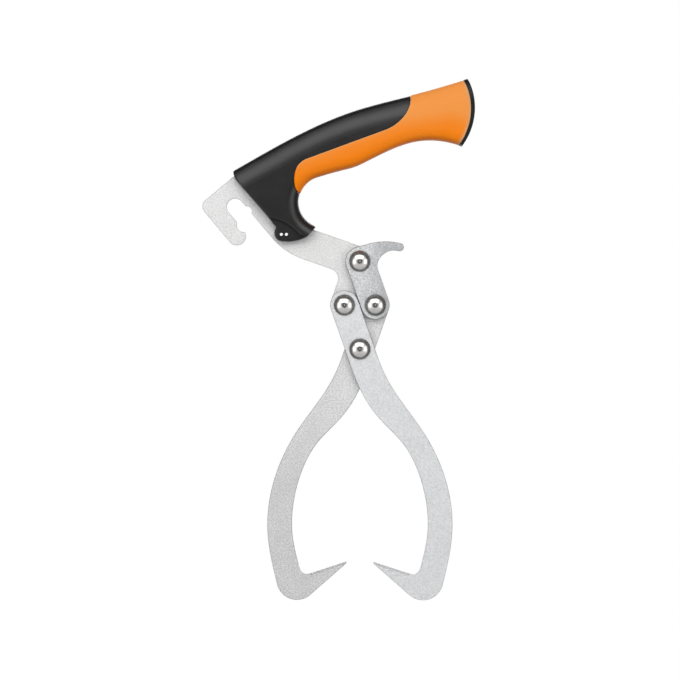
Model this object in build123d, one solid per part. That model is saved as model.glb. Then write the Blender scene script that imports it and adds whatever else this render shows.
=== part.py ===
from build123d import *
import math
import os

# Log tongs: a four-bar linkage of stamped steel plates hung from a moulded pistol grip.
# Millimetres. X runs towards the butt of the grip, Z is up, the dome heads face -Y.
# The origin is the middle of the hand's span on the grip.

# Steel plates and their pivots
plate_thickness = 4.0
pivot_pitch = 33.2
bar_half_width = 10.2
stop_gap = 0.4
top_pivot_x = -8.7
top_pivot_z = -91.0
edge_break = 0.35

# Rivets and washers
shank_radius = 4.0
pin_clearance = 0.05
running_gap = 0.05
head_radius = 7.4
head_height = 4.3
head_rim = 0.7
tail_radius = 6.0
tail_height = 2.4
washer_radius = 8.2
washer_thickness = 0.6
tail_washer_thickness = 1.0

# Trigger link: the horn, measured from the top pivot
horn_reach = 31.4
horn_crest_x = 18.0
horn_crest_z = 14.1
horn_tip_radius = 2.9
horn_tip_z = 10.0
horn_tip_lean = 12.0
horn_throat_x = 20.5
horn_throat_z = 7.0
horn_root_angle = 108.0

# Jaws, measured out and down from the bottom pivot
jaw_straight = 12.0
arm_width = 17.6
knee_width = 16.6
knee_reach = 46.4
knee_drop = 60.9
knee_angle = 36.0
bow_reach = 66.0
bow_drop = 130.0
heel_reach = 45.0
heel_drop = 164.8
heel_radius = 14.6
heel_start_angle = -14.0
tip_reach = 9.6
tip_drop = 152.0
tip_blunt = 1.2
throat_reach = 41.6
throat_drop = 162.4
throat_radius = 5.5
tip_bevel = 1.1

# Tang plate: the neck beside the top pivot and the tang inside the handle
neck_drop = 12.0
neck_length = 38.0
neck_corner = 7.0
neck_root = 54.0
strip_length = 57.0
tang_top = 5.0
tang_bottom = -8.0
tang_shoulder = -66.0
tang_heel = -73.0
tang_end = 32.0
tang_corner = 6.0
mould_gap = 0.02

# Hook, measured down and out from a corner in front of the handle's nose
hook_along = -105.0
hook_height = 5.4
hook_lean = 22.4
hook_top = 4.9
hook_reach = 32.6
hook_corner = 6.0
hook_end = 45.6
hook_tip_radius = 6.2
slot_inner = 7.5
slot_width = 12.0
slot_top = 16.3
slot_nick = 30.0
slot_nick_depth = 1.9
slot_nick_half = 3.4
barb_along = 40.6
barb_depth = 2.6
barb_length = 9.0

# Handle, measured along and above the grip's axis
grip_tilt = 17.5
nose_along = -102.9
nose_height = 4.5
nose_slope = 0.22
nose_low_along = -101.7
nose_low_height = -4.3
nose_rise = 12.3
shoulder_along = -52.0
shoulder_height = 14.9
crest_along = -7.0
crest_height = 19.3
waist_along = 40.0
waist_height = 17.2
butt_along = 76.1
butt_height = 16.3
butt_bulge = 74.9
butt_bulge_height = -4.0
flare_along = 58.4
flare_height = -27.0
flare_angle = 39.0
palm_waist_along = 25.5
palm_waist_height = -13.9
palm_swell_along = -17.0
palm_swell_height = -18.2
guard_along = -46.9
guard_height = -36.0
guard_radius = 18.6
guard_end_angle = 228.0
guard_past_angle = 22.0
guard_tip_along = -58.7
guard_tip_height = -51.6
foot_along = -66.0
foot_height = -55.9
ridge_foot_along = -71.0
ridge_foot_height = -53.6
ridge_bend_along = -75.4
ridge_bend_height = -45.5
ridge_front_along = -88.1
ridge_front_height = -35.5
crown_radius = 24.0
crown_drop = 15.5
top_round = 6.0
belly_round = 8.0
front_round = 1.2
ridge_round = 1.0
overrun = 12.0

# Half widths of the handle, from the nose to the butt
nose_half_width = 10.4
cheek_half_width = 12.2
swell_half_width = 13.6
waist_half_width = 12.8
butt_half_width = 15.2

# Lug below the guard, with its two holes
lug_half_width = 8.0
lug_notch_along = -85.2
lug_notch_height = -43.0
lug_bulge_along = -88.0
lug_bulge_height = -49.5
lug_corner_along = -86.6
lug_corner_height = -52.5
lug_bottom_along = -77.0
lug_bottom_height = -56.2
lug_round = 1.0
lug_overlap = 4.0
lug_hole_radius = 1.15
lug_hole_x = -63.0
lug_hole_z = -71.8
lug_hole_pitch = 3.6

# Soft layer and butt cap
grip_thickness = 2.2
soft_proud = 0.35
seam_gap = 0.3
seam_round = 0.9
seam_foot_along = -62.6
seam_foot_height = -25.4
seam_lobe_along = -64.3
seam_lobe_height = -19.5
seam_bend_along = -60.6
seam_bend_height = -9.0
seam_front_along = -50.0
seam_front_height = -2.9
seam_rear_along = 9.0
seam_rear_height = -0.2
seam_knee_along = 25.0
seam_knee_height = 5.0
seam_top_along = 34.4
cap_thickness = 2.4
cap_lip = 0.6
cap_gap = 0.05
cap_round = 0.8
cavity_start = 44.0
cavity_half_height = 9.0
cavity_half_width = 7.5
spigot_length = 12.0
spigot_clearance = 0.1

# Places that follow from the sizes above
# Closed, neighbouring bars lie edge to edge, which sets the linkage's angle.
closed_angle = math.asin((2 * bar_half_width + stop_gap) / pivot_pitch)
half_angle = closed_angle / 2
bar_x = math.sin(half_angle)
bar_z = math.cos(half_angle)
top_pivot = (top_pivot_x, top_pivot_z)
left_pivot = (top_pivot_x - pivot_pitch * bar_x, top_pivot_z - pivot_pitch * bar_z)
right_pivot = (top_pivot_x + pivot_pitch * bar_x, top_pivot_z - pivot_pitch * bar_z)
bottom_pivot = (top_pivot_x, top_pivot_z - 2 * pivot_pitch * bar_z)

layer_gap = washer_thickness + 2 * running_gap
front_layer_back = plate_thickness / 2 + layer_gap
head_seat = front_layer_back + plate_thickness + running_gap
tail_washer_front = plate_thickness / 2 + running_gap
tail_seat = tail_washer_front + tail_washer_thickness
hole_radius = shank_radius + pin_clearance

grip_direction = (math.cos(math.radians(grip_tilt)), 0, math.sin(math.radians(grip_tilt)))
grip_plane = Plane(origin=(0, 0, 0), x_dir=grip_direction, z_dir=(0, -1, 0))


def in_frame(origin, along, across):
    """Gives a function that turns a place in a slanted frame into (x, z)."""

    def place(u, v):
        return (origin[0] + u * along[0] + v * across[0], origin[1] + u * along[1] + v * across[1])

    return place


# Along the grip towards the butt, and up from its axis
grip_at = in_frame((0, 0), (grip_direction[0], grip_direction[2]), (-grip_direction[2], grip_direction[0]))

# Down the hook's arm, and out from the handle
hook_angle = math.radians(grip_tilt + hook_lean - 90)
edge_x = math.cos(hook_angle)
edge_z = math.sin(hook_angle)
edge_at = in_frame(grip_at(hook_along, hook_height), (edge_x, edge_z), (edge_z, -edge_x))

# Down the plate's bar from the top pivot to the left one, and out to its left
bar_at = in_frame(top_pivot, (-bar_x, -bar_z), (-bar_z, bar_x))


def rotated(angle, radius, centre=(0, 0)):
    turn = math.radians(angle)
    return (centre[0] + radius * math.cos(turn), centre[1] + radius * math.sin(turn))


def pivot_hole(centre):
    return Pos(*centre) * Circle(hole_radius)


def broken_edges(solid, amount):
    """Takes the sharp corner off the outline of a plate, on both faces."""
    rims = [face.outer_wire().edges() for face in solid.faces().filter_by(Axis.Y)]
    return chamfer([edge for rim in rims for edge in rim], amount)


def plate(outline, back):
    """A plate with this outline in (x, z), its rear face at the given depth."""
    return broken_edges(extrude(Plane.XZ.offset(-back) * outline, amount=plate_thickness), edge_break)


def tang_outline():
    """The tang plate in (x, z): bar, neck, hook and the tang inside the handle."""
    slot_outer = slot_inner + slot_width
    slot_radius = slot_width / 2
    slot_centre = slot_top + slot_radius
    tip_centre = (hook_end - hook_tip_radius, hook_reach - hook_tip_radius)
    barb_end = edge_at(barb_along, slot_outer)
    barb_start = edge_at(barb_along - barb_length, slot_outer)
    edges = [
        Line(bar_at(pivot_pitch, -bar_half_width), bar_at(0, -bar_half_width)),
        TangentArc(bar_at(0, -bar_half_width), bar_at(-bar_half_width, 0), tangent=(bar_x, bar_z)),
        Line(bar_at(-bar_half_width, 0), bar_at(-bar_half_width, neck_root)),
        Line(bar_at(-bar_half_width, neck_root), grip_at(tang_heel, tang_bottom)),
        Line(grip_at(tang_heel, tang_bottom), grip_at(tang_end, tang_bottom)),
        Line(grip_at(tang_end, tang_bottom), grip_at(tang_end, tang_top)),
    ]
    tang_front = grip_at(tang_shoulder, tang_top)
    hook_root = edge_at(hook_top, 0)
    edges += [
        Line(grip_at(tang_end, tang_top), tang_front),
        Line(tang_front, hook_root),
        Line(hook_root, edge_at(hook_top, hook_reach)),
        Line(edge_at(hook_top, hook_reach), edge_at(tip_centre[0], hook_reach)),
        ThreePointArc(
            edge_at(tip_centre[0], hook_reach),
            edge_at(hook_end, tip_centre[1]),
            barb_end,
        ),
        ThreePointArc(
            barb_end,
            edge_at(barb_along - barb_length / 2, slot_outer + barb_depth),
            barb_start,
        ),
        Line(barb_start, edge_at(slot_centre, slot_outer)),
        ThreePointArc(
            edge_at(slot_centre, slot_outer),
            edge_at(slot_top, slot_inner + slot_radius),
            edge_at(slot_centre, slot_inner),
        ),
        Line(edge_at(slot_centre, slot_inner), edge_at(slot_nick - slot_nick_half, slot_inner)),
        ThreePointArc(
            edge_at(slot_nick - slot_nick_half, slot_inner),
            edge_at(slot_nick, slot_inner - slot_nick_depth),
            edge_at(slot_nick + slot_nick_half, slot_inner),
        ),
    ]
    strip_end = edge_at(strip_length, slot_inner)
    neck_end = bar_at(neck_drop, neck_length)
    edges += [
        Line(edge_at(slot_nick + slot_nick_half, slot_inner), strip_end),
        Spline(strip_end, neck_end, tangents=[(edge_x, edge_z), (bar_z, -bar_x)]),
        Line(neck_end, bar_at(neck_drop, bar_half_width)),
        Line(bar_at(neck_drop, bar_half_width), bar_at(pivot_pitch, bar_half_width)),
        ThreePointArc(
            bar_at(pivot_pitch, bar_half_width),
            bar_at(pivot_pitch + bar_half_width, 0),
            bar_at(pivot_pitch, -bar_half_width),
        ),
    ]
    return make_face(Wire(edges))


def vertex_near(face, point):
    return face.vertices().sort_by_distance((point[0], point[1], 0))[0]


def tang_face():
    """The tang plate's outline with its corners rounded, still without holes."""
    rounds = [
        (bar_at(neck_drop, bar_half_width), neck_corner),
        (grip_at(tang_heel, tang_bottom), tang_corner),
        (bar_at(-bar_half_width, neck_root), tang_corner),
        (grip_at(tang_end, tang_bottom), tang_corner),
        (grip_at(tang_end, tang_top), tang_corner),
        (edge_at(hook_top, hook_reach), hook_corner),
    ]
    outline = tang_outline()
    for point, radius in rounds:
        outline = fillet(vertex_near(outline, point), radius)
    return outline


def lug_holes():
    """The two small holes through the lug and the plate inside it."""
    places = [lug_hole_x - lug_hole_pitch / 2, lug_hole_x + lug_hole_pitch / 2]
    return [Pos(place, lug_hole_z) * Circle(lug_hole_radius) for place in places]


def make_tang_plate():
    holes = [pivot_hole(top_pivot), pivot_hole(left_pivot)] + lug_holes()
    return plate(tang_face() - holes, plate_thickness / 2)


def make_link():
    """The trigger link in the front layer, with the finger horn above its top pivot."""
    place = in_frame(top_pivot, (1, 0), (0, 1))
    down = in_frame(top_pivot, (bar_x, -bar_z), (-bar_z, -bar_x))
    root = place(*rotated(horn_root_angle, bar_half_width))
    tip_centre = place(horn_reach - horn_tip_radius, horn_tip_z)
    tip_top = rotated(90 - horn_tip_lean, horn_tip_radius, tip_centre)
    tip_end = rotated(-horn_tip_lean, horn_tip_radius, tip_centre)
    tip_bottom = rotated(-90 - horn_tip_lean, horn_tip_radius, tip_centre)
    throat = place(horn_throat_x, horn_throat_z)
    bar_start = down(bar_half_width, -bar_half_width)
    edges = [
        Line(down(0, bar_half_width), down(pivot_pitch, bar_half_width)),
        ThreePointArc(
            down(pivot_pitch, bar_half_width),
            down(pivot_pitch + bar_half_width, 0),
            down(pivot_pitch, -bar_half_width),
        ),
        Line(down(pivot_pitch, -bar_half_width), bar_start),
        Spline(bar_start, throat, tip_bottom, tangents=[(-bar_x, bar_z), rotated(-horn_tip_lean, 1)]),
        ThreePointArc(tip_bottom, tip_end, tip_top),
        Spline(
            tip_top,
            place(horn_crest_x, horn_crest_z),
            root,
            tangents=[rotated(180 - horn_tip_lean, 1), rotated(horn_root_angle + 90, 1)],
        ),
        TangentArc(root, down(0, bar_half_width), tangent=rotated(horn_root_angle + 90, 1)),
    ]
    outline = make_face(Wire(edges))
    return plate(outline - pivot_hole(top_pivot) - pivot_hole(right_pivot), -front_layer_back)


def jaw_outline():
    """The right jaw about the bottom pivot: x is out from the tool's middle, y is up."""
    bar = in_frame((0, 0), (bar_x, -bar_z), (bar_z, bar_x))
    upper = -pivot_pitch
    knee_x = math.cos(math.radians(knee_angle))
    knee_z = math.sin(math.radians(knee_angle))
    knee_out = (knee_reach, -knee_drop)
    knee_in = (knee_reach - knee_width * knee_x, -knee_drop - knee_width * knee_z)
    bow_out = (bow_reach, -bow_drop)
    bow_in = (bow_reach - arm_width, -bow_drop)
    heel = (heel_reach, -heel_drop)
    heel_start = rotated(heel_start_angle, heel_radius, heel)
    tip = (tip_reach, -tip_drop)
    tip_low = (tip_reach, -tip_drop - tip_blunt)
    # The lower edge of the tip is tangent to the heel.
    away = math.dist(tip_low, heel)
    lean = math.degrees(math.atan2(tip_low[1] - heel[1], tip_low[0] - heel[0]))
    heel_end_angle = lean + math.degrees(math.acos(heel_radius / away))
    heel_end = rotated(heel_end_angle, heel_radius, heel)
    heel_low = rotated((heel_start_angle + heel_end_angle - 360) / 2, heel_radius, heel)
    throat = (throat_reach, -throat_drop)
    edges = [
        ThreePointArc(
            bar(upper, -bar_half_width),
            bar(upper - bar_half_width, 0),
            bar(upper, bar_half_width),
        ),
        Line(bar(upper, bar_half_width), bar(jaw_straight, bar_half_width)),
        Spline(
            bar(jaw_straight, bar_half_width),
            knee_out,
            bow_out,
            heel_start,
            tangents=[(bar_x, -bar_z), rotated(heel_start_angle - 90, 1)],
        ),
        ThreePointArc(heel_start, heel_low, heel_end),
        Line(heel_end, tip_low),
        Line(tip_low, tip),
        Line(tip, throat),
        Spline(
            throat,
            bow_in,
            knee_in,
            bar(jaw_straight, -bar_half_width),
            tangents=[rotated(heel_start_angle + 90, 1), (-bar_x, bar_z)],
        ),
        Line(bar(jaw_straight, -bar_half_width), bar(upper, -bar_half_width)),
    ]
    face = fillet(vertex_near(make_face(Wire(edges)), throat), throat_radius)
    return face - pivot_hole((0, 0)) - pivot_hole(bar(upper, 0))


def make_jaws():
    """Both jaws are one stamping; the left one is turned over."""
    blank = plate(jaw_outline(), 0)
    for cutter in tip_cutters():
        blank -= cutter
    right = Pos(bottom_pivot[0], -front_layer_back, bottom_pivot[1]) * blank
    left = Pos(bottom_pivot[0], plate_thickness / 2, bottom_pivot[1]) * mirror(blank, about=Plane.YZ)
    return right, left


def tip_cutters():
    """Wedges that grind both faces of the tip down to its upper edge."""
    run = math.dist((tip_reach, -tip_drop), (throat_reach, -throat_drop)) - throat_radius
    along = (throat_reach - tip_reach, 0, tip_drop - throat_drop)
    corner = Plane(origin=(tip_reach, 0, -tip_drop), x_dir=(0, -1, 0), z_dir=along)
    front = Pos(plate_thickness, 0) * Rectangle(2 * tip_bevel, 2 * tip_bevel, rotation=45)
    back = Rectangle(2 * tip_bevel, 2 * tip_bevel, rotation=45)
    return [extrude(corner.offset(-tip_bevel) * face, amount=run) for face in (front, back)]


def make_rivet(centre):
    """Dome head in front, shank through both layers, formed head over the tail washer."""
    rim = head_seat + head_rim
    front = head_seat + head_height
    back = tail_seat + tail_height
    profile = make_face(
        Wire(
            [
                Line((0, -front), (0, back)),
                dome((tail_radius, tail_seat), (0, back)),
                Line((tail_radius, tail_seat), (shank_radius, tail_seat)),
                Line((shank_radius, tail_seat), (shank_radius, -head_seat)),
                Line((shank_radius, -head_seat), (head_radius, -head_seat)),
                Line((head_radius, -head_seat), (head_radius, -rim)),
                dome((head_radius, -rim), (0, -front)),
            ]
        )
    )
    return Pos(centre[0], 0, centre[1]) * revolve(profile, Axis.Y)


def dome(edge, crown):
    """Arc from the edge of a head to its crown, square to the axis at the crown."""
    rise = crown[1] - edge[1]
    sphere = (edge[0] ** 2 + rise**2) / (2 * rise)
    middle = math.asin(edge[0] / abs(sphere)) / 2
    halfway = (abs(sphere) * math.sin(middle), crown[1] - sphere * (1 - math.cos(middle)))
    return ThreePointArc(edge, halfway, crown)


def make_washer(centre, front, thickness):
    """A washer whose front face lies at the given depth."""
    ring = Circle(washer_radius) - Circle(hole_radius)
    return extrude(Pos(centre[0], front + thickness, centre[1]) * (Plane.XZ * ring), amount=thickness)


def butt_curve(inset):
    """The rounded end of the handle, from above the spine to below the belly."""
    top = (butt_along - inset, butt_height - inset)
    flare = (flare_along - inset, flare_height + inset)
    arc = ThreePointArc(top, (butt_bulge - inset, butt_bulge_height), flare)
    above = arc @ 0 - (arc % 0) * overrun
    below = arc @ 1 + (arc % 1) * overrun
    return [Line(above, arc @ 0), arc, Line(arc @ 1, below)]


def spine_curve(inset):
    """Top outline, run on past the nose and the butt."""
    return Spline(
        (nose_along - overrun, nose_height - overrun * nose_slope - inset),
        (nose_along, nose_height - inset),
        (shoulder_along, shoulder_height - inset),
        (crest_along, crest_height - inset),
        (waist_along, waist_height - inset),
        (butt_along, butt_height - inset),
        (butt_along + overrun, butt_height - inset),
    )


def belly_curve(inset):
    """Lower outline under the palm, from past the flare to the guard."""
    return Spline(
        rotated(-flare_angle, overrun, (flare_along, flare_height + inset)),
        (flare_along, flare_height + inset),
        (palm_waist_along, palm_waist_height + inset),
        (palm_swell_along, palm_swell_height + inset),
        (guard_along, guard_height + guard_radius + inset),
        tangents=[rotated(180 - flare_angle, 1), (-1, 0)],
    )


def guard_curve(inset):
    """Round inside of the finger guard, run on past its tip."""
    reach = guard_radius + inset
    centre = (guard_along, guard_height)
    end = rotated(guard_end_angle + guard_past_angle, reach, centre)
    return ThreePointArc(rotated(90, reach, centre), rotated(180, reach, centre), end)


def across_grip(along):
    """Plane across the grip: its x is the tool's thickness, its y is up from the grip's axis."""
    origin = grip_plane.from_local_coords((along, 0, 0))
    return Plane(origin=origin, x_dir=(0, 1, 0), z_dir=grip_direction)


def cross_section(spine_height, half_width, inset):
    """Section across the handle: flat sides, crowned near the spine until they meet."""
    half = half_width - inset
    radius = crown_radius - inset
    low = foot_height - overrun
    crown = spine_height - crown_drop
    lean = math.degrees(math.acos((radius - half) / radius))
    centre = (half - radius, crown)
    peak = rotated(lean, radius, centre)
    edges = [
        Line((-half, low), (half, low)),
        Line((half, low), (half, crown)),
        ThreePointArc((half, crown), rotated(lean / 2, radius, centre), peak),
        ThreePointArc(peak, rotated(180 - lean / 2, radius, (-centre[0], crown)), (-half, crown)),
        Line((-half, crown), (-half, low)),
    ]
    return make_face(Wire(edges))


def handle_slab(inset):
    """The handle's sides, from past the nose to past the butt, drawn in by the inset."""
    past = 2 * overrun
    stations = [
        (nose_along - past, nose_height - past * nose_slope, nose_half_width),
        (nose_along, nose_height, nose_half_width),
        (shoulder_along, shoulder_height, cheek_half_width),
        (crest_along, crest_height, swell_half_width),
        (waist_along, waist_height, waist_half_width),
        (butt_along, butt_height, butt_half_width),
        (butt_along + past, butt_height, butt_half_width),
    ]
    sections = [across_grip(along) * cross_section(height, width, inset) for along, height, width in stations]
    return loft(sections)


def edges_along(body, curves):
    """Edges of the body's sides that follow curves of the side outline."""
    found = []
    for edge in body.edges():
        middle = grip_plane.to_local_coords(edge @ 0.5)
        on_side = abs(middle.Z) > running_gap
        if on_side and any(curve.distance_to(Vector(middle.X, middle.Y)) < running_gap for curve in curves):
            found.append(edge)
    return found


def handle_form(inset):
    """The handle's whole outer form, sides crowned and long edges rounded."""
    spine = spine_curve(inset)
    belly = belly_curve(inset)
    guard = guard_curve(inset)
    left = (spine @ 0).X
    right = (spine @ 1).X
    low = foot_height - overrun
    outline = [
        spine,
        Line(spine @ 1, (right, (belly @ 0).Y)),
        Line((right, (belly @ 0).Y), belly @ 0),
        belly,
        guard,
        Line(guard @ 1, ((guard @ 1).X, low)),
        Line(((guard @ 1).X, low), (left, low)),
        Line((left, low), spine @ 0),
    ]
    body = through_handle(outline) & handle_slab(inset)
    body = fillet(edges_along(body, [spine]), top_round - inset)
    body = fillet(edges_along(body, [belly, guard]), belly_round - inset)
    return body & handle_ends(inset)


def handle_ends(inset):
    """Trims the nose, the ridge over the lug, the guard's tip and the butt."""
    far = 2 * butt_along
    butt = butt_curve(inset)
    above = butt[0] @ 0
    below = butt[-1] @ 1
    guard_centre = (guard_along, guard_height)
    under = [
        below,
        (below.X, -far),
        guard_centre,
        rotated(guard_end_angle, guard_radius, guard_centre),
        (guard_tip_along, guard_tip_height),
        (foot_along, foot_height),
        (ridge_foot_along, ridge_foot_height),
    ]
    front = front_curves()
    nose_top = front[-1] @ 1
    over = [nose_top, (nose_top.X, far), (above.X, far), above]
    return through_handle(butt + chain(under) + [ridge_curve()] + front + chain(over))


def front_curves():
    """Front edge from the ridge up to the rounded nose, run on above the spine."""
    nose_low = (nose_low_along, nose_low_height)
    nose_top = (nose_low_along, nose_low_height + nose_rise)
    edge = Line((ridge_front_along, ridge_front_height), nose_low)
    return [edge, TangentArc(nose_low, nose_top, tangent=edge % 1)]


def ridge_curve():
    foot = (ridge_foot_along, ridge_foot_height)
    bend = (ridge_bend_along, ridge_bend_height)
    return ThreePointArc(foot, bend, (ridge_front_along, ridge_front_height))


def chain(points):
    """Straight edges from point to point."""
    return [Line(*pair) for pair in zip(points, points[1:])]


def across_handle(face):
    """Solid through the whole handle on a face in the grip's frame."""
    depth = 2 * butt_half_width
    return extrude(grip_plane.offset(-depth) * face, amount=2 * depth)


def through_handle(edges):
    """Solid through the whole handle, bounded by edges in the grip's frame."""
    return across_handle(make_face(Wire(edges)))


def tangent_arcs(points, heading):
    """Arcs from point to point, each running on smoothly from the one before."""
    arcs = []
    for start, end in zip(points, points[1:]):
        arcs.append(TangentArc(start, end, tangent=heading))
        heading = arcs[-1] % 1
    return arcs


def seam_run():
    """Straight run of the seam along the handle's side."""
    return Line((seam_front_along, seam_front_height), (seam_rear_along, seam_rear_height))


def soft_face():
    """Everything on the soft layer's side of the seam, which climbs from the guard and ends at the spine."""
    run = seam_run()
    bend = (seam_bend_along, seam_bend_height)
    lobe = (seam_lobe_along, seam_lobe_height)
    foot = (seam_foot_along, seam_foot_height)
    knee = (seam_knee_along, seam_knee_height)
    down = tangent_arcs([run @ 0, bend, lobe, foot], -(run % 0))
    up = tangent_arcs([run @ 1, knee, (seam_top_along, crest_height)], run % 1)
    inside = down[-1] @ 1 + (down[-1] % 1) * guard_radius
    top = up[-1] @ 1
    over = top + (up[-1] % 1) * overrun
    far = 2 * butt_along
    around = [top, over, (over.X, far), (far, far), (far, -far), (inside.X, -far), inside, foot]
    return make_face(Wire(down + [run] + up + chain(around)))


def rim_edges(body, skin):
    """Outer edges of the soft layer beside the straight run. A round on them runs on along the whole rim."""
    shell = skin.shells()[0]
    run = seam_run()
    found = []
    for edge in body.edges():
        middle = grip_plane.to_local_coords(edge @ 0.5)
        away = run.distance_to(Vector(middle.X, middle.Y))
        if abs(away - seam_gap) < running_gap and shell.distance_to(edge @ 0.5) < running_gap:
            found.append(edge)
    return found


def cap_region(gap):
    """Everything past the line where the cap meets the butt, and a gap beyond it."""
    far = 2 * butt_along
    rim = [Pos(gap - cap_thickness, 0) * edge for edge in butt_curve(0)]
    above = rim[0] @ 0
    below = rim[-1] @ 1
    around = [below, (below.X, -far), (far, -far), (far, far), (above.X, far), above]
    return through_handle(rim + chain(around))


def lug_form():
    """The thin lug under the ridge, with its rounded lower corner."""
    front = front_curves()[0]
    start = front @ 0 + (front % 0) * lug_overlap
    notch = (lug_notch_along, lug_notch_height)
    corner = (lug_corner_along, lug_corner_height)
    foot = (foot_along, foot_height)
    root = (guard_along - guard_radius - lug_overlap, guard_height)
    rim = [
        Spline(notch, (lug_bulge_along, lug_bulge_height), corner),
        ThreePointArc(corner, (lug_bottom_along, lug_bottom_height), foot),
    ]
    outline = make_face(Wire(rim + chain([foot, root, start, notch])))
    body = extrude(grip_plane.offset(-lug_half_width) * outline, amount=2 * lug_half_width)
    return fillet(edges_along(body, rim), lug_round)


def butt_block(front, clearance):
    """A rounded block in the butt, from a place along the grip to past its end."""
    section = RectangleRounded(
        2 * (cavity_half_width - clearance),
        2 * (cavity_half_height - clearance),
        cavity_half_width / 2,
    )
    return extrude(across_grip(front) * section, amount=butt_along)


def butt_face(body):
    return body.faces().sort_by(lambda face: grip_plane.to_local_coords(face.center()).X)[-1]


def make_handle():
    """Core moulded over the tang, soft layer moulded over the core, cap in the butt."""
    form = handle_form(0)
    form = fillet(edges_along(form, [ridge_curve()]), ridge_round)
    form = fillet(edges_along(form, front_curves()), front_round)
    inner = handle_form(grip_thickness)
    beyond = cap_region(0)
    soft_side = soft_face()
    core = form + lug_form() - ((form & across_handle(soft_side)) - inner) - beyond
    slot_depth = plate_thickness + 2 * mould_gap
    core -= extrude(Plane.XZ.offset(-slot_depth / 2) * tang_face(), amount=slot_depth)
    core -= butt_block(cavity_start, 0)
    for hole in lug_holes():
        core -= extrude(Plane.XZ.offset(-2 * lug_half_width) * hole, amount=4 * lug_half_width)
    skin = handle_form(-soft_proud)
    soft_grip = skin & across_handle(offset(soft_side, -seam_gap))
    soft_grip = fillet(rim_edges(soft_grip, skin), seam_round) - inner - beyond
    cap = handle_form(-cap_lip)
    cap = fillet(butt_face(cap).edges(), cap_round) & cap_region(cap_gap)
    spigot_start = flare_along - cap_thickness - spigot_length
    plug = butt_block(spigot_start, spigot_clearance) - cap_region(cap_thickness / 2)
    return core, soft_grip, cap + plug


tang_plate = make_tang_plate()
trigger_link = make_link()
right_jaw, left_jaw = make_jaws()
handle_core, soft_grip, butt_cap = make_handle()
parts = {
    "tang_plate": tang_plate,
    "handle_core": handle_core,
    "soft_grip": soft_grip,
    "butt_cap": butt_cap,
    "trigger_link": trigger_link,
    "right_jaw": right_jaw,
    "left_jaw": left_jaw,
}
pivots = {"top": top_pivot, "left": left_pivot, "right": right_pivot, "bottom": bottom_pivot}
for name, centre in pivots.items():
    parts[name + "_rivet"] = make_rivet(centre)
    parts[name + "_washer"] = make_washer(centre, -front_layer_back + running_gap, washer_thickness)
    parts[name + "_tail_washer"] = make_washer(centre, tail_washer_front, tail_washer_thickness)

os.makedirs("parts", exist_ok=True)
for name, solid in parts.items():
    export_step(solid, "parts/" + name + ".step")
    print(name, solid.is_valid, len(solid.solids()), round(solid.volume, 1))
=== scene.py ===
import math

import bpy
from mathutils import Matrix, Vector


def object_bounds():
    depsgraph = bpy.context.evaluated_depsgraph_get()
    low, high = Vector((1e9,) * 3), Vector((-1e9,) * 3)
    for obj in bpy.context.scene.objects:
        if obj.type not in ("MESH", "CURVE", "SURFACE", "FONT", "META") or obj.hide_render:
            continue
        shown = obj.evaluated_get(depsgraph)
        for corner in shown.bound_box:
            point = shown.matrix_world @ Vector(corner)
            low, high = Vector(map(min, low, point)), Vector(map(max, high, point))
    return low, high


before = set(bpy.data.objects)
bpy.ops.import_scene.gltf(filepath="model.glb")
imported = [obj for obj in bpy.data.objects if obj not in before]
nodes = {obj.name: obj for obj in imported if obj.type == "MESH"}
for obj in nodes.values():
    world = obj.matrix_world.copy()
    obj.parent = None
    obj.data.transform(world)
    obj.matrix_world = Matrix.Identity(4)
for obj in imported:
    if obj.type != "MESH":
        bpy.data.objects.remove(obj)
cad_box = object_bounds()

# Lengths are metres and colours are linear. The tool faces -Y, Z is up, and X runs towards the butt.

# The photograph's frame: one pixel is this many metres in the plane of the tang plate
PHOTO_PIXELS = 680
METRES_PER_PIXEL = 0.000715
VIEW_CENTRE = Vector((-0.02288, 0.0, -0.14729))
CAMERA_DISTANCE = 3.2
CAMERA_REACH = 50.0
SENSOR_MILLIMETRES = 36.0

# Sockets of the Mix node, which has its own for each kind of value
MIX_FACTOR = 0
MIX_FIRST_NUMBER = 2
MIX_SECOND_NUMBER = 3
MIX_NUMBER_RESULT = 0
MIX_FIRST_COLOUR = 6
MIX_SECOND_COLOUR = 7
MIX_COLOUR_RESULT = 2

# Noise lies mostly between these values
NOISE_LOW = 0.3
NOISE_HIGH = 0.7


def add_node(tree, kind, links=None, **values):
    """Adds a shader node, sets its properties and links its inputs from other sockets."""
    node = tree.nodes.new(kind)
    for name, value in values.items():
        setattr(node, name, value)
    for name, source in (links or {}).items():
        tree.links.new(source, node.inputs[name])
    return node


def cleared_tree(owner):
    """The node tree of a material or a world, emptied."""
    owner.use_nodes = True
    owner.node_tree.nodes.clear()
    return owner.node_tree


def blank_material(name):
    """A material with only a surface shader and its output."""
    material = bpy.data.materials.new(name)
    tree = cleared_tree(material)
    shader = add_node(tree, "ShaderNodeBsdfPrincipled")
    add_node(tree, "ShaderNodeOutputMaterial", {"Surface": shader.outputs["BSDF"]})
    return material, tree, shader


def noise(tree, place, size, detail=2.0, roughness=0.5):
    """Noise whose lumps are about this many metres across."""
    texture = add_node(tree, "ShaderNodeTexNoise", {"Vector": place})
    texture.inputs["Scale"].default_value = 1.0 / size
    texture.inputs["Detail"].default_value = detail
    texture.inputs["Roughness"].default_value = roughness
    return texture.outputs["Fac"]


def spread(tree, value, low, high, start=NOISE_LOW, end=NOISE_HIGH):
    """Maps a value from start to end onto low to high, and holds it there beyond them."""
    mapper = add_node(tree, "ShaderNodeMapRange", {"Value": value})
    mapper.inputs["From Min"].default_value = start
    mapper.inputs["From Max"].default_value = end
    mapper.inputs["To Min"].default_value = low
    mapper.inputs["To Max"].default_value = high
    return mapper.outputs["Result"]


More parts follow.
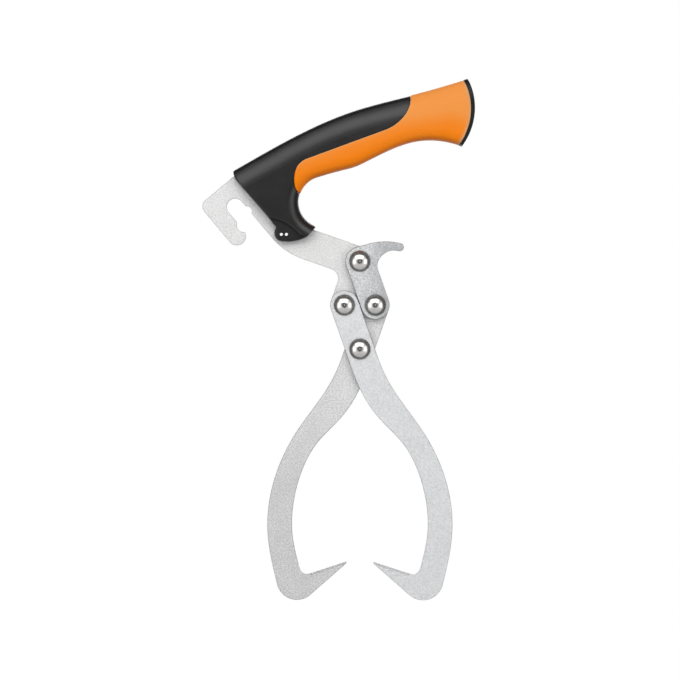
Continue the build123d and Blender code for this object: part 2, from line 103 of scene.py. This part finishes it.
def rise(tree, value, start=NOISE_LOW, end=NOISE_HIGH):
    """Zero at the start, one at the end."""
    return spread(tree, value, 0.0, 1.0, start, end)


def fall(tree, value, start, end):
    """One at the start, zero at the end."""
    return spread(tree, value, 1.0, 0.0, start, end)


def added(tree, first, second, share):
    """First plus a share of second."""
    adder = add_node(tree, "ShaderNodeMath", {0: second, 2: first}, operation="MULTIPLY_ADD")
    adder.inputs[1].default_value = share
    return adder.outputs[0]


def product(tree, first, second):
    """First times second."""
    return add_node(tree, "ShaderNodeMath", {0: first, 1: second}, operation="MULTIPLY").outputs[0]


def larger(tree, first, second):
    """The larger of two values."""
    return add_node(tree, "ShaderNodeMath", {0: first, 1: second}, operation="MAXIMUM").outputs[0]


def without_sign(tree, value):
    """The size of a value."""
    return add_node(tree, "ShaderNodeMath", {0: value}, operation="ABSOLUTE").outputs[0]


def blend(tree, factor, first, second):
    """First where the factor is zero, second where it is one. Each is a colour or the socket of one."""
    mixer = add_node(tree, "ShaderNodeMix", {MIX_FACTOR: factor}, data_type="RGBA")
    for index, colour in ((MIX_FIRST_COLOUR, first), (MIX_SECOND_COLOUR, second)):
        if isinstance(colour, tuple):
            mixer.inputs[index].default_value = (*colour, 1.0)
        else:
            tree.links.new(colour, mixer.inputs[index])
    return mixer.outputs[MIX_COLOUR_RESULT]


def tinted(tree, noise_value, dark, light):
    """Two colours mixed by a noise."""
    return blend(tree, rise(tree, noise_value), dark, light)


def darkened(tree, factor, colour, dark):
    """The colour where the factor is one, and this share of it where the factor is zero."""
    share = blend(tree, factor, (dark, dark, dark), (1.0, 1.0, 1.0))
    links = {MIX_FIRST_COLOUR: colour, MIX_SECOND_COLOUR: share}
    mixer = add_node(tree, "ShaderNodeMix", links, data_type="RGBA", blend_type="MULTIPLY")
    mixer.inputs[MIX_FACTOR].default_value = 1.0
    return mixer.outputs[MIX_COLOUR_RESULT]


def object_place(tree):
    """Where a point is, in its object's own coordinates."""
    return add_node(tree, "ShaderNodeTexCoord").outputs["Object"]


def object_normal(tree):
    """Which way a surface faces, in its object's own coordinates."""
    return add_node(tree, "ShaderNodeTexCoord").outputs["Normal"]


def coordinate(tree, vector, axis):
    """A vector's part along X, Y or Z."""
    return add_node(tree, "ShaderNodeSeparateXYZ", {0: vector}).outputs[axis]


def front_share(tree):
    """One on faces square to the front or back, zero on faces square to the sides."""
    return without_sign(tree, coordinate(tree, object_normal(tree), "Y"))


# Share of the sky that shows in a full corner, and on an open surface
CORNER_SKY = 0.35
OPEN_SKY = 0.8
SKY_SAMPLES = 8


def openness(tree, reach):
    """One on open surfaces, falling to zero in a corner or gap within this reach."""
    occlusion = add_node(tree, "ShaderNodeAmbientOcclusion", samples=SKY_SAMPLES)
    occlusion.inputs["Distance"].default_value = reach
    return rise(tree, occlusion.outputs["AO"], CORNER_SKY, OPEN_SKY)


def bump(tree, shader, height, depth):
    """Relief of this depth in metres on the shader."""
    relief = add_node(tree, "ShaderNodeBump", {"Height": height})
    relief.inputs["Distance"].default_value = depth
    tree.links.new(relief.outputs["Normal"], shader.inputs["Normal"])


# Plates: grain of the blasting, with finer pits and wide clouds, lines across the sheared edges, and
# painted shade in gaps
GRAIN_CONTRAST = 0.6
PIT_TO_GRAIN = 0.45
PIT_SHARE = 0.35
CLOUD_TO_GRAIN = 11.0
CLOUD_SHARE = 0.12
PLATE_TONES = (0.53, 0.94)
PLATE_ROUGHNESS = (0.5, 0.64)
PLATE_METAL = 0.6
PLATE_CORNER_REACH = 0.0014
PLATE_CORNER_PAINTED_SHADE = 0.25
EDGE_LINE_SIZE = 0.0006
EDGE_LINE_SQUEEZE = (1.0, 0.08, 1.0)
EDGE_FACING = 0.7
FACE_FACING = 0.96
POINT_BOTTOM = -0.305
POINT_TOP = -0.295
POINT_LIFT = 0.35


def plate_face(tree, place):
    """One on the flat faces of a plate and on the slopes of its point, zero on its cut edges."""
    point = spread(tree, coordinate(tree, place, "Z"), POINT_LIFT, 0.0, POINT_BOTTOM, POINT_TOP)
    facing = added(tree, front_share(tree), point, 1.0)
    return rise(tree, facing, EDGE_FACING, FACE_FACING)


def blasted_steel(name, dark, light, edge_share, grain_size, grain_depth, darker_stretch=None):
    """Stamped plate: matt blasted faces, sheared edges with fine lines across the thickness, and painted
    shade in corners and gaps between layers.

    A darker stretch is given by its axis, where it starts, where it is full, and how much darker it is.
    """
    material, tree, shader = blank_material(name)
    place = object_place(tree)
    grain = noise(tree, place, grain_size, roughness=GRAIN_CONTRAST)
    pits = noise(tree, place, PIT_TO_GRAIN * grain_size, detail=1.0)
    cloud = noise(tree, place, CLOUD_TO_GRAIN * grain_size)
    tone = added(tree, added(tree, grain, pits, PIT_SHARE), cloud, CLOUD_SHARE)
    # Darker tone along one axis of the part
    if darker_stretch:
        axis, start, full, dullness = darker_stretch
        tone = added(tree, tone, rise(tree, coordinate(tree, place, axis), start, full), -dullness)
    face = blend(tree, rise(tree, tone, *PLATE_TONES), dark, light)
    squeezed = add_node(tree, "ShaderNodeMapping", {"Vector": place})
    squeezed.inputs["Scale"].default_value = EDGE_LINE_SQUEEZE
    lines = noise(tree, squeezed.outputs["Vector"], EDGE_LINE_SIZE)
    dark_edge, light_edge = (tuple(edge_share * part for part in colour) for colour in (dark, light))
    edge = tinted(tree, lines, dark_edge, light_edge)
    flat = plate_face(tree, place)
    skin = blend(tree, flat, edge, face)
    # Painted shade: darker where other parts crowd in, as in the gaps between stacked plates
    colour = darkened(tree, openness(tree, PLATE_CORNER_REACH), skin, PLATE_CORNER_PAINTED_SHADE)
    tree.links.new(colour, shader.inputs["Base Color"])
    tree.links.new(spread(tree, grain, *PLATE_ROUGHNESS), shader.inputs["Roughness"])
    shader.inputs["Metallic"].default_value = PLATE_METAL
    links = {MIX_FACTOR: flat, MIX_FIRST_NUMBER: lines, MIX_SECOND_NUMBER: tone}
    relief = add_node(tree, "ShaderNodeMix", links, data_type="FLOAT")
    bump(tree, shader, relief.outputs[MIX_NUMBER_RESULT], grain_depth)
    return material


# Rivets: polished on the crown, dull where the head turns down to its rim, with a painted dark
# reflection on that rim
RIVET_DARK = (0.48, 0.47, 0.455)
RIVET_LIGHT = (0.58, 0.57, 0.555)
RIVET_ROUGHNESS = (0.15, 0.24)
RIVET_MARK_SIZE = 0.0016
RIVET_MARK_DEPTH = 0.00003
RIM_PAINTED_REFLECTION = (0.185, 0.183, 0.182)
RIM_METAL = 0.6
RIM_DULLNESS = 0.1
RIM_FACING = 0.66
CROWN_FACING = 0.8


def polished_steel(name):
    """Rivet head, polished on its crown with faint marks, and left dull at its rim, which carries a
    painted dark reflection.
    """
    material, tree, shader = blank_material(name)
    marks = noise(tree, object_place(tree), RIVET_MARK_SIZE, detail=4.0, roughness=0.6)
    crown = rise(tree, front_share(tree), RIM_FACING, CROWN_FACING)
    # The rim's dark colour is a painted dark reflection
    skin = blend(tree, crown, RIM_PAINTED_REFLECTION, tinted(tree, marks, RIVET_DARK, RIVET_LIGHT))
    tree.links.new(skin, shader.inputs["Base Color"])
    tree.links.new(spread(tree, crown, RIM_METAL, 1.0, 0.0, 1.0), shader.inputs["Metallic"])
    rim_roughness = spread(tree, marks, *(end + RIM_DULLNESS for end in RIVET_ROUGHNESS))
    tree.links.new(added(tree, rim_roughness, crown, -RIM_DULLNESS), shader.inputs["Roughness"])
    bump(tree, shader, marks, RIVET_MARK_DEPTH)
    return material


# Washers
ZINC_DARK = (0.5, 0.5, 0.5)
ZINC_LIGHT = (0.64, 0.64, 0.63)
ZINC_ROUGHNESS = (0.3, 0.45)
SPANGLE_SIZE = 0.0016


def zinc_steel(name):
    """Plated washer."""
    material, tree, shader = blank_material(name)
    spangle = noise(tree, object_place(tree), SPANGLE_SIZE, detail=3.0)
    tree.links.new(tinted(tree, spangle, ZINC_DARK, ZINC_LIGHT), shader.inputs["Base Color"])
    tree.links.new(spread(tree, spangle, *ZINC_ROUGHNESS), shader.inputs["Roughness"])
    shader.inputs["Metallic"].default_value = 1.0
    return material


# Mouldings: a fine texture from the mould, and a line where its halves met
MOULD_TEXTURE_CONTRAST = 0.6
MOULD_TEXTURE_DEPTH = 0.000012
PARTING_HALF_WIDTH = 0.0003
PARTING_TO_TEXTURE = 6.0

# Black mouldings
BLACK_DARK = (0.006, 0.006, 0.0065)
BLACK_LIGHT = (0.010, 0.010, 0.0105)
BLACK_FLOW_SIZE = 0.012
BLACK_TEXTURE_SIZE = 0.00045
BLACK_ROUGHNESS_SPREAD = (-0.05, 0.07)
BLACK_CORNER_REACH = 0.0015
BLACK_CORNER_PAINTED_SHADE = 0.3
BLACK_CORNER_DULLNESS = 0.5

# Soft layer
ORANGE_DEEP = (0.85, 0.208, 0.001)
ORANGE_MIDDLE = (0.85, 0.225, 0.014)
ORANGE_MIDDLE_AT = 0.44
ORANGE_PAINTED_SHEEN = (0.83, 0.29, 0.057)
ORANGE_ROUGHNESS = (0.46, 0.56)
ORANGE_SHINE = 0.12
ORANGE_TEXTURE_SIZE = 0.0004
ORANGE_CORNER_REACH = 0.0012
ORANGE_CORNER_PAINTED_SHADE = 0.25
UNDERSIDE_FACING = (-0.95, -0.6)
UNDERSIDE_PAINTED_SHADE = 0.62

# The orange is paler with the height above the seam's line, a painted sheen; the line rises by this
# slope through the origin
SEAM_SLOPE = 0.3775
BELLY_DEPTH = -0.0125
CREST_HEIGHT = 0.0045
ORANGE_CLOUD_SIZE = 0.0015
ORANGE_CLOUD_LIFT = 0.002

# The painted sheen is stronger, as if it were higher, along the rear and beside the butt cap, which it
# meets in an arc
REAR_SPAN = (0.02, 0.07)
REAR_SHEEN_LIFT = 0.011
BUTT_SPAN = (0.028, 0.034)
BUTT_CENTRE = (0.02655, 0.0, 0.01745)
BUTT_RADIUS = 0.0438
CAP_SHEEN_LIFT = 0.006
CAP_SHEEN_BAND_WIDTH = 0.012

# Painted highlights: pale lines along the seam and the cap
SEAM_HIGHLIGHT_COLOUR = (0.66, 0.34, 0.15)
SEAM_HIGHLIGHT_FACING = (0.86, 0.99)
SEAM_HIGHLIGHT_HEIGHT = (-0.005, -0.002)
SEAM_HIGHLIGHT_END = (0.0264, 0.0282)
CAP_HIGHLIGHT_COLOUR = (0.66, 0.33, 0.14)
CAP_HIGHLIGHT_WIDTH = (0.0026, 0.0004)


def parting_line(tree, place):
    """One along the middle of a moulding, where the halves of its mould met."""
    depth = without_sign(tree, coordinate(tree, place, "Y"))
    return fall(tree, depth, 0.5 * PARTING_HALF_WIDTH, PARTING_HALF_WIDTH)


def mould_relief(tree, shader, place, texture, parted):
    """The mould's texture on a shader, with a parting line if the mould had halves."""
    relief = added(tree, texture, parting_line(tree, place), PARTING_TO_TEXTURE) if parted else texture
    bump(tree, shader, relief, MOULD_TEXTURE_DEPTH)


def black_moulding(name, roughness, shine, parted):
    """Hard plastic with a fine moulded texture and a satin shine, duller in its corners, with painted
    shade there.
    """
    material, tree, shader = blank_material(name)
    place = object_place(tree)
    texture = noise(tree, place, BLACK_TEXTURE_SIZE, roughness=MOULD_TEXTURE_CONTRAST)
    flow = noise(tree, place, BLACK_FLOW_SIZE)
    open_skin = openness(tree, BLACK_CORNER_REACH)
    # Painted shade in corners and creases
    colour = darkened(tree, open_skin, tinted(tree, flow, BLACK_DARK, BLACK_LIGHT), BLACK_CORNER_PAINTED_SHADE)
    tree.links.new(colour, shader.inputs["Base Color"])
    shader.inputs["Specular IOR Level"].default_value = shine
    corner_range = (roughness + BLACK_CORNER_DULLNESS + end for end in BLACK_ROUGHNESS_SPREAD)
    corner_roughness = spread(tree, texture, *corner_range)
    dullness = added(tree, corner_roughness, open_skin, -BLACK_CORNER_DULLNESS)
    tree.links.new(dullness, shader.inputs["Roughness"])
    mould_relief(tree, shader, place, texture, parted)
    return material


def butt_distance(tree, place):
    """Distance from the middle of the butt's arc, seen from the front."""
    flat = add_node(tree, "ShaderNodeVectorMath", {0: place}, operation="MULTIPLY")
    flat.inputs[1].default_value = (1.0, 0.0, 1.0)
    distance = add_node(tree, "ShaderNodeVectorMath", {0: flat.outputs["Vector"]}, operation="DISTANCE")
    distance.inputs[1].default_value = BUTT_CENTRE
    return distance.outputs["Value"]


def seam_height(tree, place, along, near_cap):
    """Height above the seam's line, which sets the painted sheen, raised along the rear and beside the
    cap.
    """
    height = added(tree, coordinate(tree, place, "Z"), along, -SEAM_SLOPE)
    height = added(tree, height, noise(tree, place, ORANGE_CLOUD_SIZE, detail=3.0), ORANGE_CLOUD_LIFT)
    height = added(tree, height, rise(tree, along, *REAR_SPAN), REAR_SHEEN_LIFT)
    return added(tree, height, near_cap, CAP_SHEEN_LIFT)


def orange_ramp(tree, height):
    """The orange at this height above the seam's line, paler higher up as a painted sheen."""
    share = rise(tree, height, BELLY_DEPTH, CREST_HEIGHT)
    ramp = add_node(tree, "ShaderNodeValToRGB", {"Fac": share})
    stops = ramp.color_ramp.elements
    stops[0].color = (*ORANGE_DEEP, 1.0)
    stops[1].color = (*ORANGE_PAINTED_SHEEN, 1.0)
    stops.new(ORANGE_MIDDLE_AT).color = (*ORANGE_MIDDLE, 1.0)
    return ramp.outputs["Color"]


def orange_skin(tree, place):
    """The orange of each place, with its painted sheen and the painted highlights along the seam and the
    cap.
    """
    along = coordinate(tree, place, "X")
    butt = butt_distance(tree, place)
    in_butt = rise(tree, along, *BUTT_SPAN)
    near_cap = product(tree, in_butt, rise(tree, butt, BUTT_RADIUS - CAP_SHEEN_BAND_WIDTH, BUTT_RADIUS))
    height = seam_height(tree, place, along, near_cap)
    tilted = fall(tree, front_share(tree), *SEAM_HIGHLIGHT_FACING)
    near_seam = rise(tree, height, *SEAM_HIGHLIGHT_HEIGHT)
    # Painted highlight along the seam, and along the cap below
    seam_highlight = product(tree, product(tree, tilted, near_seam), fall(tree, along, *SEAM_HIGHLIGHT_END))
    cap_highlight = rise(tree, butt, *(BUTT_RADIUS - width for width in CAP_HIGHLIGHT_WIDTH))
    highlighted = blend(tree, seam_highlight, orange_ramp(tree, height), SEAM_HIGHLIGHT_COLOUR)
    return blend(tree, product(tree, in_butt, cap_highlight), highlighted, CAP_HIGHLIGHT_COLOUR)


def orange_rubber(name):
    """Soft-touch layer, matt, with a fine grain, and painted shade in its corners and underneath."""
    material, tree, shader = blank_material(name)
    place = object_place(tree)
    texture = noise(tree, place, ORANGE_TEXTURE_SIZE, roughness=MOULD_TEXTURE_CONTRAST)
    open_skin = openness(tree, ORANGE_CORNER_REACH)
    # Painted shade in corners and creases
    colour = darkened(tree, open_skin, orange_skin(tree, place), ORANGE_CORNER_PAINTED_SHADE)
    # Painted shade on faces turned down
    not_under = rise(tree, coordinate(tree, object_normal(tree), "Z"), *UNDERSIDE_FACING)
    tree.links.new(darkened(tree, not_under, colour, UNDERSIDE_PAINTED_SHADE), shader.inputs["Base Color"])
    tree.links.new(spread(tree, texture, *ORANGE_ROUGHNESS), shader.inputs["Roughness"])
    shader.inputs["Specular IOR Level"].default_value = ORANGE_SHINE
    mould_relief(tree, shader, place, texture, parted=True)
    return material


rivet_steel = polished_steel("rivet_steel")
washer_steel = zinc_steel("washer_steel")
finishes = {
    "tang_plate": blasted_steel(
        "plate_steel",
        dark=(0.59, 0.59, 0.585),
        light=(0.83, 0.83, 0.83),
        edge_share=0.92,
        grain_size=0.00095,
        grain_depth=0.00005,
    ),
    "trigger_link": blasted_steel(
        "link_steel",
        dark=(0.41, 0.42, 0.43),
        light=(0.765, 0.77, 0.775),
        edge_share=0.62,
        grain_size=0.0009,
        grain_depth=0.00008,
        darker_stretch=("X", -0.002, 0.008, 0.17),
    ),
    "right_jaw": blasted_steel(
        "right_jaw_steel",
        dark=(0.60, 0.605, 0.61),
        light=(0.775, 0.78, 0.79),
        edge_share=0.78,
        grain_size=0.0009,
        grain_depth=0.00004,
    ),
    "left_jaw": blasted_steel(
        "left_jaw_steel",
        dark=(0.515, 0.515, 0.515),
        light=(0.83, 0.83, 0.83),
        edge_share=0.6,
        grain_size=0.001,
        grain_depth=0.00006,
        darker_stretch=("Z", -0.19, -0.25, 0.09),
    ),
    "handle_core": black_moulding("core_black", roughness=0.36, shine=0.44, parted=True),
    "butt_cap": black_moulding("cap_black", roughness=0.42, shine=0.22, parted=False),
    "soft_grip": orange_rubber("grip_orange"),
}
for pivot in ("top", "left", "right", "bottom"):
    finishes[pivot + "_rivet"] = rivet_steel
    finishes[pivot + "_washer"] = washer_steel
    finishes[pivot + "_tail_washer"] = washer_steel
for name, material in finishes.items():
    for slot in nodes[name].material_slots:
        slot.material = material


# Studio: the world, a floor well below the tool, and dark flags round the tool and round the lens
WORLD_LIGHT = 0.4
WORLD_SHOWN = 1.0
FLOOR_GREY = 0.8
FLOOR_DROP = 0.45
FLOOR_RADIUS = 6.0
FLOOR_LIFTS = (0.05, 0.68)
FLOOR_FADE = (0.3, 2.6)
FLAG_GREY = 0.16
SIDE_FLAG_RADIUS = 0.6
SIDE_FLAG_FRONT = -0.225
SIDE_FLAG_LEAN = 0.1
SIDE_FLAG_BACK = 0.55
LENS_FLAG_RADIUS = 0.54
LENS_FLAG_DISTANCE = 1.2
RING_STEPS = 64


def shown_rays(tree):
    """One for rays that show the surroundings: from the camera, mirrored or through glass."""
    path = add_node(tree, "ShaderNodeLightPath").outputs
    seen = larger(tree, path["Is Camera Ray"], path["Is Glossy Ray"])
    return larger(tree, seen, path["Is Transmission Ray"])


def pale_world():
    """White where it is seen directly or mirrored, softer where it lights the object."""
    world = bpy.data.worlds.new("studio")
    bpy.context.scene.world = world
    tree = cleared_tree(world)
    strength = spread(tree, shown_rays(tree), WORLD_LIGHT, WORLD_SHOWN, 0.0, 1.0)
    sky = add_node(tree, "ShaderNodeBackground", {"Strength": strength})
    sky.inputs["Color"].default_value = (1.0, 1.0, 1.0, 1.0)
    add_node(tree, "ShaderNodeOutputWorld", {"Surface": sky.outputs["Background"]})


def plain_surface(name, grey):
    """Matt surface for the studio."""
    material = bpy.data.materials.new(name)
    tree = cleared_tree(material)
    matt = add_node(tree, "ShaderNodeBsdfDiffuse")
    matt.inputs["Color"].default_value = (grey, grey, grey, 1.0)
    output = add_node(tree, "ShaderNodeOutputMaterial", {"Surface": matt.outputs["BSDF"]})
    return material, tree, matt, output


def pale_floor():
    """Matt floor that takes shadows under the tool, and fades to white away from it where it is seen."""
    material, tree, matt, output = plain_surface("floor_pale", FLOOR_GREY)
    away = add_node(tree, "ShaderNodeVectorMath", {0: object_place(tree)}, operation="LENGTH")
    lift = spread(tree, away.outputs["Value"], *FLOOR_LIFTS, *FLOOR_FADE)
    glow = add_node(tree, "ShaderNodeEmission", {"Strength": product(tree, lift, shown_rays(tree))})
    both = add_node(tree, "ShaderNodeAddShader", {0: matt.outputs["BSDF"], 1: glow.outputs["Emission"]})
    tree.links.new(both.outputs["Shader"], output.inputs["Surface"])
    return material


def stage_mesh(name, points, faces, material):
    """A piece of the studio."""
    mesh = bpy.data.meshes.new(name)
    mesh.from_pydata(points, [], faces)
    mesh.materials.append(material)
    piece = bpy.data.objects.new(name, mesh)
    bpy.context.scene.collection.objects.link(piece)
    return piece


def flag(name, points, faces, material):
    """A dark card that only reflections show."""
    piece = stage_mesh(name, points, faces, material)
    piece.visible_camera = False
    piece.visible_diffuse = False
    piece.visible_transmission = False
    piece.visible_shadow = False


def ring_points(radius, place):
    """Points on a circle, each put in the scene by a function of its two coordinates."""
    turns = [2 * math.pi * step / RING_STEPS for step in range(RING_STEPS)]
    return [place(radius * math.cos(turn), radius * math.sin(turn)) for turn in turns]


def upright_ring(radius, depth, lean=0.0):
    """Points on an upright circle about the middle of the view, whose top leans to the front."""
    middle = VIEW_CENTRE
    return ring_points(radius, lambda a, b: (middle.x + a, depth - lean * b / radius, middle.z + b))


def make_stage():
    """Floor under the hanging tool, and the flags that its shiny parts mirror."""
    dark = plain_surface("flag_dark", FLAG_GREY)[0]
    disc = [range(RING_STEPS)]
    floor = stage_mesh("floor", ring_points(FLOOR_RADIUS, lambda a, b: (a, b, 0.0)), disc, pale_floor())
    floor.location.z = cad_box[0].z - FLOOR_DROP

    near = upright_ring(SIDE_FLAG_RADIUS, SIDE_FLAG_FRONT, SIDE_FLAG_LEAN)
    far = upright_ring(SIDE_FLAG_RADIUS, SIDE_FLAG_BACK)
    pairs = [(step, (step + 1) % RING_STEPS) for step in range(RING_STEPS)]
    wall = [(one, two, RING_STEPS + two, RING_STEPS + one) for one, two in pairs]
    flag("side_flag", near + far, wall, dark)
    flag("lens_flag", upright_ring(LENS_FLAG_RADIUS, -LENS_FLAG_DISTANCE), disc, dark)


def softbox(name, place, width, height, radiance):
    """A rectangular lamp aimed at the tool, of this brightness over its face."""
    lamp = bpy.data.lights.new(name, "AREA")
    lamp.shape = "RECTANGLE"
    lamp.size = width
    lamp.size_y = height
    lamp.energy = radiance * math.pi * width * height
    box = bpy.data.objects.new(name, lamp)
    bpy.context.scene.collection.objects.link(box)
    box.location = place
    box.rotation_euler = (VIEW_CENTRE - Vector(place)).to_track_quat("-Z", "Y").to_euler()
    box.visible_camera = False


def make_lights():
    """One wide lamp above in front, one on each side, and one behind for the views from there."""
    softbox("key", place=(-0.15, -1.3, 0.87), width=2.2, height=0.95, radiance=2.5)
    softbox("left_fill", place=(-1.5, -1.3, -0.25), width=0.9, height=1.4, radiance=1.68)
    softbox("right_fill", place=(1.5, -1.3, -0.25), width=0.9, height=1.4, radiance=1.6)
    softbox("back_fill", place=(0.2, 1.6, 0.6), width=2.0, height=1.6, radiance=2.0)


def make_camera():
    """Long lens, square on to the plates, framed as the photograph is."""
    lens = bpy.data.cameras.new("camera")
    lens.sensor_width = SENSOR_MILLIMETRES
    lens.lens = SENSOR_MILLIMETRES * CAMERA_DISTANCE / (PHOTO_PIXELS * METRES_PER_PIXEL)
    lens.clip_end = CAMERA_REACH
    camera = bpy.data.objects.new("camera", lens)
    bpy.context.scene.collection.objects.link(camera)
    camera.location = VIEW_CENTRE - Vector((0.0, CAMERA_DISTANCE, 0.0))
    camera.rotation_euler = (math.radians(90), 0.0, 0.0)
    bpy.context.scene.camera = camera


pale_world()
make_stage()
make_lights()
make_camera()
bpy.context.scene.view_settings.view_transform = "Standard"
